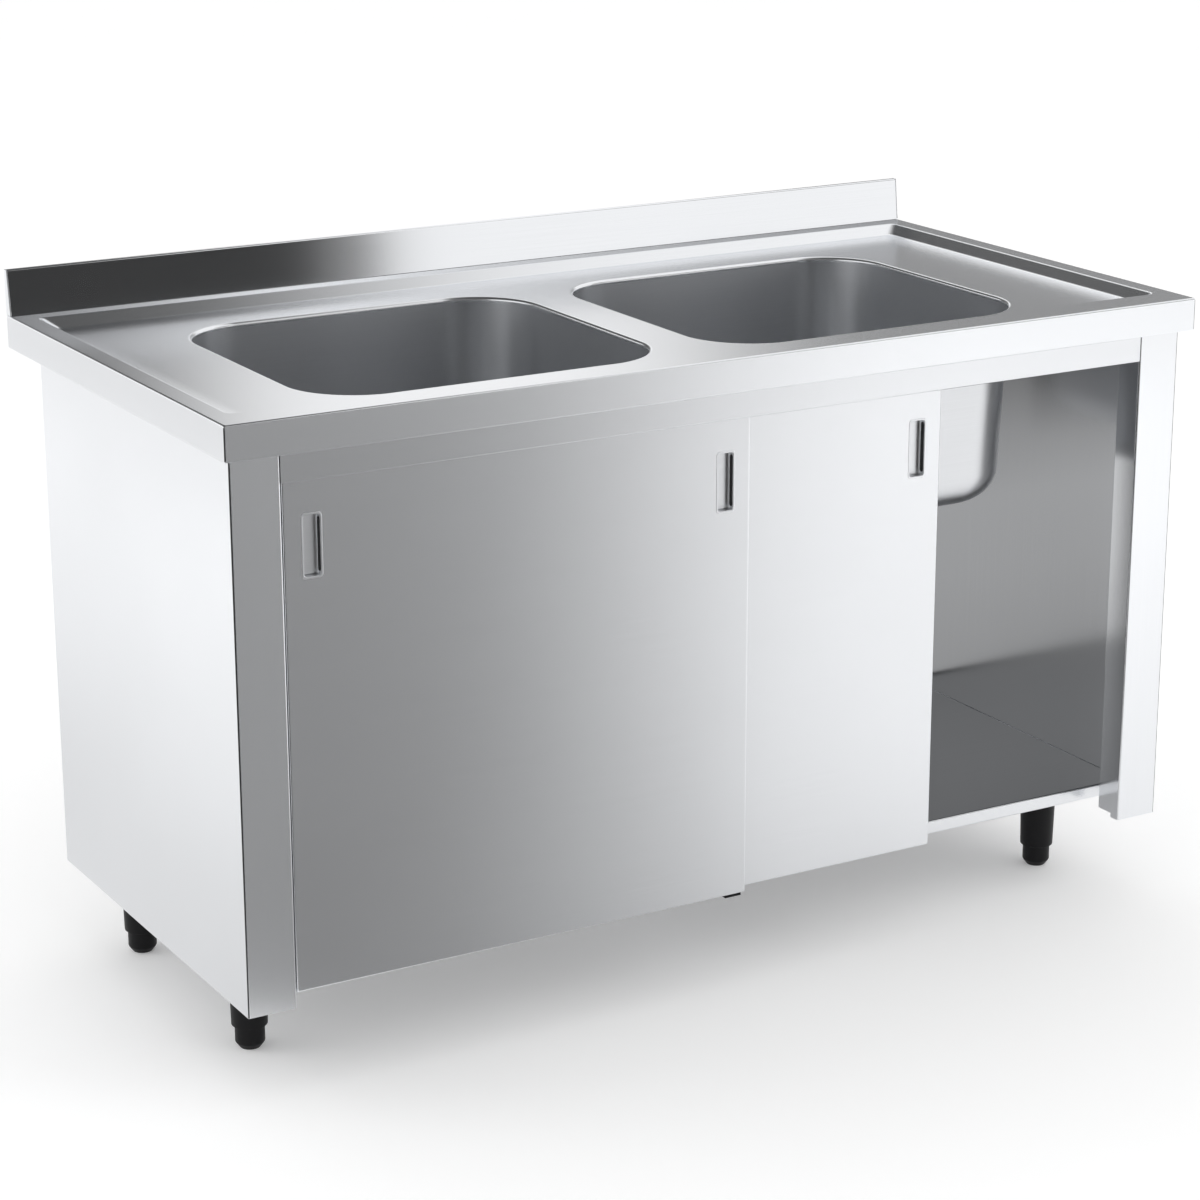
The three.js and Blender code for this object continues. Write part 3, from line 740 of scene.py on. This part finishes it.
# Painted light and shade: the shelf has dark steel for the shade inside the cabinet, and its lip,
# which looks out at the room, gets the lighter front steel.
shelf_floor.data.materials.append(front_steel)
for face in shelf_floor.data.polygons:
    if face.normal.y < -0.7:
        face.material_index = 1
for side, x in BEARERS:
    low, top = FRAME_TOP - BEARER_DROP, FRAME_TOP
    near, far = x - BEARER_HALF, x + BEARER_HALF
    hat = [(near, low), (near, top), (far, top), (far, low)]
    folded_piece(
        "bearer_" + side, "top_bearer_" + side, zinc_steel, hat, -SHEET,
        along_y, BEARER_FRONT, RAIL_REAR - SEAT,
    )
for side, x in STIFFENERS:
    flange, low = STIFFENER_TOP - SHEET, STIFFENER_TOP - STIFFENER_DROP
    near, far = x - STIFFENER_HALF, x + STIFFENER_HALF
    hat = [
        (x - STIFFENER_REACH, flange), (near, flange), (near, low),
        (far, low), (far, flange), (x + STIFFENER_REACH, flange),
    ]
    folded_piece(
        "stiffener_" + side, "shelf_stiffener_" + side, zinc_steel, hat, SHEET,
        along_y, STIFFENER_FRONT, STIFFENER_REAR,
    )
softened("back_panel", "back_sheet", inner_steel)
softened("door_track", "track_double", inner_steel, 0.3)
softened("door_guide", "guide_block", black_plastic, 0.5)


CORNER_LINE_PROUD = 0.15
CORNER_LINE_SHEET = 0.3
CORNER_LINE_FROM = 21.0
CORNER_LINE_FOOT = 0.5


def painted_corner_line(name, node, x, y, radius, low, high, right=False):
    """Painted reflection down a vertical corner: a thin dark strip round the middle of the fold."""
    made = Sheet()
    sides = []
    for size in (radius + CORNER_LINE_PROUD - CORNER_LINE_SHEET, radius + CORNER_LINE_PROUD):
        arc = []
        for i in range(BEND_STEPS + 1):
            turn = math.radians(CORNER_LINE_FROM + (90 - 2 * CORNER_LINE_FROM) * i / BEND_STEPS)
            across = size * math.cos(turn)
            arc.append((x + (across if right else -across), y - size * math.sin(turn)))
        sides.append(arc)
    outline = sides[0] + sides[1][::-1]
    if right:
        outline = outline[::-1]
    foot, head = made.rings([[at(px, py, z) for px, py in outline] for z in (low, high)])
    made.faces += [tuple(reversed(foot)), tuple(head)]
    piece(name, made, dark_reflection_steel, node, replaces=False)


# Painted reflection: a dark strip down the worktop's front corners and each wall's front corner.
for side in ("left", "right"):
    mirrored = side == "right"
    apron_x, wall_x = TOP_CORNER, PANEL_OUT + PANEL_FOLD
    if mirrored:
        apron_x, wall_x = WIDTH - apron_x, WIDTH - wall_x
    painted_corner_line(
        "painted_corner_line_apron_" + side, "worktop", apron_x, TOP_CORNER, TOP_CORNER,
        APRON_BOTTOM + HEM_FOLD, DECK - APRON_FOLD, mirrored,
    )
    painted_corner_line(
        "painted_corner_line_wall_" + side, "side_panel_" + side, wall_x, PANEL_FRONT + PANEL_FOLD, PANEL_FOLD,
        CABINET_BOTTOM + CORNER_LINE_FOOT, FRAME_TOP, mirrored,
    )


# ------------------------------------------------------------------ doors

DOOR_WIDTH, DOOR_BOTTOM, DOOR_TOP = 637.0, 135.5, 778.0
DOOR_SKIN = 1.2
DOOR_FOLD = 2.2
PULL_Z = 689.0
PULL_HALF = (12.0, 38.0)
PULL_INSET = 36.5
PULL_WALL = 10.7
PULL_LIP = 1.0
PULL_DEEP = 9.0
PULL_BOTTOM_FOLD = 2.4
PULL_FLOAT = 0.3
PULL_SHEET = 0.6
CUP_TALLER = 26
CUP_LIP_STEPS = 4
CUP_FOOT_STEPS = 5
SLOT_HALF, SLOT_RADIUS = 33.0, 3.3
SLOT_FROM, SLOT_TO = 0.6, 7.4
DOOR_DEEP, DOOR_LIP, DOOR_CORNER = 13.5, 5.0, 1.6
PULL_CORNER = 3.0


def upright(x0, x1, z0, z1, y, radius, steps=CORNER_STEPS):
    """A rounded rectangle that stands in the plane of a door, anticlockwise seen from the front."""
    return [at(x, y, z) for x, z in rounded(x0, x1, z0, z1, radius, steps)]


def door(name, left, face):
    right = left + DOOR_WIDTH

    def edge_ring(inset, y, lip=None):
        low, high = DOOR_BOTTOM + inset, DOOR_TOP - inset
        ring = upright(left + inset, right - inset, low, high, y, DOOR_CORNER)
        if lip is None:
            return ring
        foot = at(0, 0, low + 2).z
        return [Vector((p.x, at(0, lip, 0).y if p.z < foot else p.y, p.z)) for p in ring]

    made = Sheet()
    rings = [edge_ring(0, face + DOOR_DEEP, face + DOOR_LIP), edge_ring(0, face + DOOR_FOLD + 1.5)]
    for i in range(BEND_STEPS + 1):
        turn = math.pi / 2 * i / BEND_STEPS
        inset, back = DOOR_FOLD * (1 - math.cos(turn)), DOOR_FOLD * (1 - math.sin(turn))
        rings.append(edge_ring(inset, face + back))
    rings.append(edge_ring(DOOR_FOLD + 2, face))
    outline = made.rings(rings)[-1]
    w, h = PULL_HALF
    holes = []
    for x in (left + PULL_INSET, right - PULL_INSET):
        hole = upright(x - w, x + w, PULL_Z - h, PULL_Z + h, face, PULL_CORNER)
        holes.append(made.add(hole))
    made.plate([outline] + holes, Vector((0, -1, 0)))
    piece(name + "_skin", made, front_steel, name + "_pan", DOOR_SKIN)

    for side, x in (("left", left + PULL_INSET), ("right", right - PULL_INSET)):
        grip = Sheet()

        def cup_ring(hx, hz, y, radius):
            return upright(x - hx, x + hx, PULL_Z - hz, PULL_Z + hz, face + y, radius)

        cup = [
            cup_ring(13.4, 39.4, -0.02, 4.4), cup_ring(13.2, 39.2, -0.22, 4.2),
            cup_ring(12.9, 38.9, -0.3, 3.9), cup_ring(11.7, 37.7, -0.3, 3.6),
        ]
        for i in range(1, CUP_LIP_STEPS + 1):
            turn = math.pi / 2 * i / CUP_LIP_STEPS
            inset = PULL_WALL + PULL_LIP - PULL_LIP * math.sin(turn)
            back = PULL_LIP * (1 - math.cos(turn)) - PULL_FLOAT
            cup.append(cup_ring(inset, inset + CUP_TALLER, back, 3.4))
        for i in range(CUP_FOOT_STEPS + 1):
            turn = math.pi / 2 * i / CUP_FOOT_STEPS
            inset = PULL_WALL - PULL_BOTTOM_FOLD * (1 - math.cos(turn))
            back = PULL_DEEP - PULL_BOTTOM_FOLD * (1 - math.sin(turn))
            cup.append(cup_ring(inset, inset + CUP_TALLER, back, 3.2 - 1.6 * i / CUP_FOOT_STEPS))
        last = grip.rings(cup)[-1]
        grip.faces.append(tuple(last))
        piece(f"{name}_grip_{side}", grip, grip_steel, f"{name}_pull_{side}", PULL_SHEET)
        # Painted shade for the finger slot: a near-black strip with round ends on the wall that
        # faces left, standing for the shade in the slot.
        slot = Sheet()
        strip = []
        for inward in (0.05, 0.4):
            low, high = PULL_Z - SLOT_HALF, PULL_Z + SLOT_HALF
            flat = rounded(face + SLOT_FROM, face + SLOT_TO, low, high, SLOT_RADIUS)
            strip.append([at(x + PULL_WALL - inward, y, z) for y, z in flat])
        back, fore = slot.rings(strip)
        slot.faces.append(tuple(fore))
        slot.faces.append(tuple(reversed(back)))
        slot.faces = [f[::-1] for f in slot.faces]
        piece(f"{name}_slot_{side}", slot, painted_slot_shade, f"{name}_pull_{side}", replaces=False)

    softened(name + "_liner", name + "_back", inner_steel)
    for side in ("left", "right"):
        softened(f"{name}_hanger_{side}", f"{name}_bracket_{side}", zinc_steel, 0.3)


for door_name, door_left, door_face in (("door_front", 78.0, 22.0), ("door_rear", 381.0, 40.0)):
    door(door_name, door_left, door_face)


# ------------------------------------------------------------------ feet

PLATE_HALF = 40
PLATE_LOW, PLATE_TOP = 125.2, 127.9
SOCKET_PROFILE = [
    (9.3, 99.3), (9.3, 31.3), (22.2, 31.3), (22.8, 31.6), (23.0, 32.2), (24.9, 115.2),
    (25.0, 116.6), (25.0, 123.4), (24.6, 124.5), (23.8, 124.9), (0, 124.9),
]
TIP_PROFILE = [
    (0, 0), (12.2, 0), (13.0, 0.3), (13.6, 1.0), (18.2, 7.2), (18.8, 8.4), (19.0, 9.8),
    (19.0, 29.6), (18.6, 30.6), (17.8, 31.0), (9.0, 31.0), (9.0, 92.4), (8.4, 93.0), (0, 93.0),
]


def foot(name, x, y):
    half = PLATE_HALF
    plate = Sheet()
    plate.box(x - half, x + half, y - half, y + half, PLATE_LOW, PLATE_TOP)
    piece(name + "_flange", plate, zinc_steel, name + "_plate", edge=0.8)
    body = Sheet()
    lathe(body, SOCKET_PROFILE, x, y)
    body.faces.append(tuple(reversed(range(TURN_STEPS))))
    piece(name + "_body", body, black_plastic, name + "_socket", sharp=40)
    pad = Sheet()
    lathe(pad, TIP_PROFILE, x, y)
    piece(name + "_glide", pad, black_plastic, name + "_tip", sharp=40)


for fore, y in (("front", 185.0), ("rear", 538.0)):
    for side, x in (("left", 84.5), ("right", 1315.5)):
        foot(f"foot_{fore}_{side}", x, y)


# ------------------------------------------------------------------ CAD nodes that show as they are

CARRIED = {
    "inner_steel": inner_steel,
    "zinc_steel": zinc_steel,
    "polished_steel": polished_steel,
    "black_plastic": black_plastic,
    "white_nylon": white_nylon,
    "black_rubber": black_rubber,
    "satin_steel": bowl_steel,
}
for node_name, slot_name in SLOT_OF.items():
    shown = nodes[node_name]
    shown.data.materials.clear()
    shown.data.materials.append(CARRIED[slot_name])


# ------------------------------------------------------------------ studio

def stage_plane(name, x0, x1, y0, y1, material, place=None):
    """A flat card from x0 to x1 and y0 to y1. Where it has a place, only glossy rays see it."""
    mesh = bpy.data.meshes.new(name)
    corners = [(x0, y0, 0), (x1, y0, 0), (x1, y1, 0), (x0, y1, 0)]
    mesh.from_pydata(corners, [], [(0, 1, 2, 3)])
    obj = bpy.data.objects.new(name, mesh)
    scene.collection.objects.link(obj)
    mesh.materials.append(material)
    if place is not None:
        obj.matrix_world = place
        obj.visible_camera = False
        obj.visible_diffuse = False
        obj.visible_shadow = False
        obj.visible_transmission = False
        obj.visible_volume_scatter = False


FLOOR_LIFT = 0.18    # brightens the floor in the picture and in the steel, so that it is white


def picture_rays(tree):
    """1 for rays that show the background: seen straight, in a gloss, or through something."""
    rays = tree.new("ShaderNodeLightPath")
    seen = rays.outputs["Is Camera Ray"]
    for kind in ("Is Glossy Ray", "Is Transmission Ray"):
        both = tree.new("ShaderNodeMath", operation="ADD", use_clamp=True)
        tree.link(seen, both.inputs[0])
        tree.link(rays.outputs[kind], both.inputs[1])
        seen = both.outputs[0]
    return seen


def floor_material():
    made, tree, shader = start_material("floor_paper")
    grain = tree.noise(tree.coords((1, 1, 1)), 2.0, 2.0)
    tree.link(tree.ramp(grain, [(0.0, 0.93), (1.0, 0.94)]), shader.inputs["Base Color"])
    tree.put(shader, "Roughness", 0.95)
    tree.put(shader, "Specular IOR Level", 0.05)
    tree.put(shader, "Emission Color", (1, 1, 1, 1))
    lift = tree.new("ShaderNodeMath", operation="MULTIPLY")
    lift.inputs[1].default_value = FLOOR_LIFT
    tree.link(picture_rays(tree), lift.inputs[0])
    tree.link(lift.outputs[0], shader.inputs["Emission Strength"])
    return made


def card_material(name, grey, stops, axis):
    """A glowing card. grey is its brightness, and stops say how solid it is along its axis."""
    made = bpy.data.materials.new(name)
    made.use_nodes = True
    tree = Nodes(made.node_tree)
    made.node_tree.nodes.clear()
    place = tree.new("ShaderNodeTexCoord")
    split = tree.new("ShaderNodeSeparateXYZ")
    tree.link(place.outputs["Object"], split.inputs["Vector"])
    run = tree.new("ShaderNodeMapRange")
    low, high = stops[0][0], stops[-1][0]
    tree.put(run, "From Min", low)
    tree.put(run, "From Max", high)
    tree.link(split.outputs[axis], run.inputs["Value"])
    span = high - low
    solid = tree.ramp(run.outputs["Result"], [((s - low) / span, v) for s, v in stops], "LINEAR")
    glow = tree.new("ShaderNodeEmission")
    clouds = tree.noise(tree.coords((1, 1, 1)), 0.6, 2.0)
    tree.link(tree.ramp(clouds, [(0.2, grey * 0.92), (0.8, grey * 1.08)]), glow.inputs["Color"])
    clear = tree.new("ShaderNodeBsdfTransparent")
    mix = tree.new("ShaderNodeMixShader")
    tree.link(solid, mix.inputs[0])
    tree.link(clear.outputs[0], mix.inputs[1])
    tree.link(glow.outputs[0], mix.inputs[2])
    out = tree.new("ShaderNodeOutputMaterial")
    tree.link(mix.outputs[0], out.inputs["Surface"])
    return made


def card(name, grey, stops, size, place, axis="X"):
    """A card in the studio: brightness, where it is solid, x0, x1, y0 and y1, and place."""
    stage_plane(name, *size, card_material("card_" + name, grey, stops, axis), place)


def floor_place(height):
    return Matrix.Translation(Vector((0, 0, height)))


def wall_place(y):
    """An upright card across the room, at y."""
    return Matrix.Translation(Vector((0, y, 0))) @ Matrix.Rotation(math.pi / 2, 4, "X")


FLOOR_HALF = 40
stage_plane("floor", -FLOOR_HALF, FLOOR_HALF, -FLOOR_HALF, FLOOR_HALF, floor_material())

# A dark mat on the floor in front of the unit's left half. Its right edge runs away from the doors
# at MAT_TURN to the right, and softens. Its own X runs to the left of that edge.
MAT_TURN = math.radians(31.0)
MAT_START = Vector((-0.20, -0.33, 0.004))
mat_x = Vector((-math.cos(MAT_TURN), -math.sin(MAT_TURN), 0))
mat_y = Vector((math.sin(MAT_TURN), -math.cos(MAT_TURN), 0))
mat_turned = Matrix((mat_x, mat_y, Vector((0, 0, 1)))).transposed().to_4x4()
card("mat_front", 0.29, [
    (-0.5, 0.0), (-0.26, 0.12), (-0.10, 0.45), (0.05, 0.72), (0.2, 0.92), (0.35, 1.0), (4.0, 1.0),
], (-0.5, 4.0, 0.0, 7.0), Matrix.Translation(MAT_START) @ mat_turned)

# A black patch where only the rounded corners look, between the doors' side and the left wall's.
card("mat_corner", 0.03, [
    (-5.0, 0.0), (-4.0, 1.0), (-1.0, 1.0), (-0.8, 0.0),
], (-5.0, -0.8, -6.0, -0.5), floor_place(0.006))

# A grey patch beside the left wall, which greys the wall towards its foot.
card("mat_beside", 0.70, [
    (-2.6, 0.0), (-1.6, 0.15), (-1.2, 0.55), (-0.95, 0.9), (-0.75, 1.0),
], (-2.6, -0.75, -0.4, 2.6), floor_place(0.005))

# Grey walls of the room, before and behind the unit, and a part of its ceiling.
FRONT_WALL, BACK_WALL, SHADE_WALL, CEILING = -6, 12, 11.9, 3.4
card("wall_front", 0.045, [
    (-9.0, 1.0), (2.58, 1.0), (2.66, 0.84), (2.80, 0.78), (2.93, 0.12), (3.1, 0.0), (4.0, 0.0),
], (-9.0, 4.0, 0.4, 2.1), wall_place(FRONT_WALL))
card("wall_upper", 0.22, [
    (-9.0, 1.0), (1.6, 1.0), (2.1, 0.7), (2.7, 0.0), (4.0, 0.0),
], (-9.0, 4.0, 2.1, 7.0), wall_place(FRONT_WALL))
card("wall_upper_right", 0.34, [
    (3.0, 0.0), (4.6, 0.75), (6.0, 1.0), (12.0, 1.0),
], (3.0, 12.0, 2.1, 7.0), wall_place(FRONT_WALL))
card("wall_back", 0.24, [
    (-4.0, 0.0), (-3.0, 1.0), (3.9, 1.0), (4.25, 0.75), (4.55, 0.42), (5.0, 0.0),
    (6.6, 0.0), (7.4, 0.2), (8.0, 0.7), (8.5, 1.0), (24.0, 1.0),
], (-4.0, 24.0, 0.6, 7.0), wall_place(BACK_WALL))
card("wall_shade", 0.12, [
    (-4.0, 0.0), (-2.0, 1.0), (3.4, 1.0), (4.3, 0.0), (6.0, 0.0),
], (-4.0, 6.0, 0.6, 7.0), wall_place(SHADE_WALL))
card("roof", 0.08, [
    (-4.2, 0.0), (-3.6, 1.0), (0.65, 1.0), (1.3, 0.0), (1.6, 0.0),
], (-4.2, 1.6, -3.2, 6.0), floor_place(CEILING))

# A pale patch that greys only the left end of the apron.
card("mat_apron", 0.60, [
    (-2.4, 0.0), (-2.3, 1.0), (-1.94, 1.0), (-1.86, 0.0), (-1.84, 0.0),
], (-2.4, -1.84, 2.3, 4.6), floor_place(0.007))

# Stand for the soft light that the cabinet's walls throw at each other.
INSIDE_Y = 0.255
CARD_STEP = 0.002
INSIDE = (-0.68, 0.68, 0.150, 0.830)
card("inside_base", 0.07, [(-0.68, 1.0), (0.68, 1.0)], INSIDE, wall_place(INSIDE_Y + CARD_STEP))
card("inside", 0.42, [
    (0.147, 0.8), (0.30, 0.95), (0.42, 1.0), (0.52, 0.75), (0.62, 0.35), (0.72, 0.08), (0.834, 0.0),
], INSIDE, wall_place(INSIDE_Y), "Y")
card("inside_dusk", 0.02, [
    (0.50, 0.0), (0.57, 0.3), (0.63, 0.85), (0.68, 1.0), (0.834, 1.0),
], (-0.68, 0.47, 0.50, 0.830), wall_place(INSIDE_Y - CARD_STEP), "Y")
card("inside_bright", 0.95, [
    (0.147, 0.6), (0.30, 1.0), (0.54, 1.0), (0.62, 0.0), (0.64, 0.0),
], (0.158, 0.235, 0.150, 0.64), wall_place(INSIDE_Y - 2 * CARD_STEP), "Y")
card("inside_dim", 0.06, [
    (0.147, 0.7), (0.25, 1.0), (0.834, 1.0),
], (0.06, 0.158, 0.150, 0.830), wall_place(INSIDE_Y - 2 * CARD_STEP), "Y")


def area_light(name, place, towards, size, power):
    data = bpy.data.lights.new(name, "AREA")
    data.shape = "RECTANGLE"
    data.size, data.size_y = size
    data.energy = power
    obj = bpy.data.objects.new(name, data)
    obj.location = place
    obj.rotation_mode = "QUATERNION"
    obj.rotation_quaternion = (Vector(towards) - Vector(place)).to_track_quat("-Z", "Y")
    obj.visible_glossy = False
    scene.collection.objects.link(obj)


LIT_POINT = (0, 0, 0.5)
LAMP_SIZE = (2.0, 2.0)
KEY_WATTS, FILL_WATTS = 26, 20
SKY_LEVEL = 0.88
area_light("key", (2.6, -3.2, 2.6), LIT_POINT, LAMP_SIZE, KEY_WATTS)
area_light("fill", (-3.4, 1.5, 2.4), LIT_POINT, LAMP_SIZE, FILL_WATTS)

world = bpy.data.worlds.new("studio")
scene.world = world
world.use_nodes = True
sky = Nodes(world.node_tree)
world.node_tree.nodes.clear()
light_level = sky.new("ShaderNodeBackground")
sky.put(light_level, "Strength", SKY_LEVEL)
white = sky.new("ShaderNodeBackground")
sky.put(white, "Strength", 1.0)
for background in (light_level, white):
    sky.put(background, "Color", (1, 1, 1, 1))
choose = sky.new("ShaderNodeMixShader")
sky.link(picture_rays(sky), choose.inputs[0])
sky.link(light_level.outputs[0], choose.inputs[1])
sky.link(white.outputs[0], choose.inputs[2])
world_out = sky.new("ShaderNodeOutputWorld")
sky.link(choose.outputs[0], world_out.inputs["Surface"])
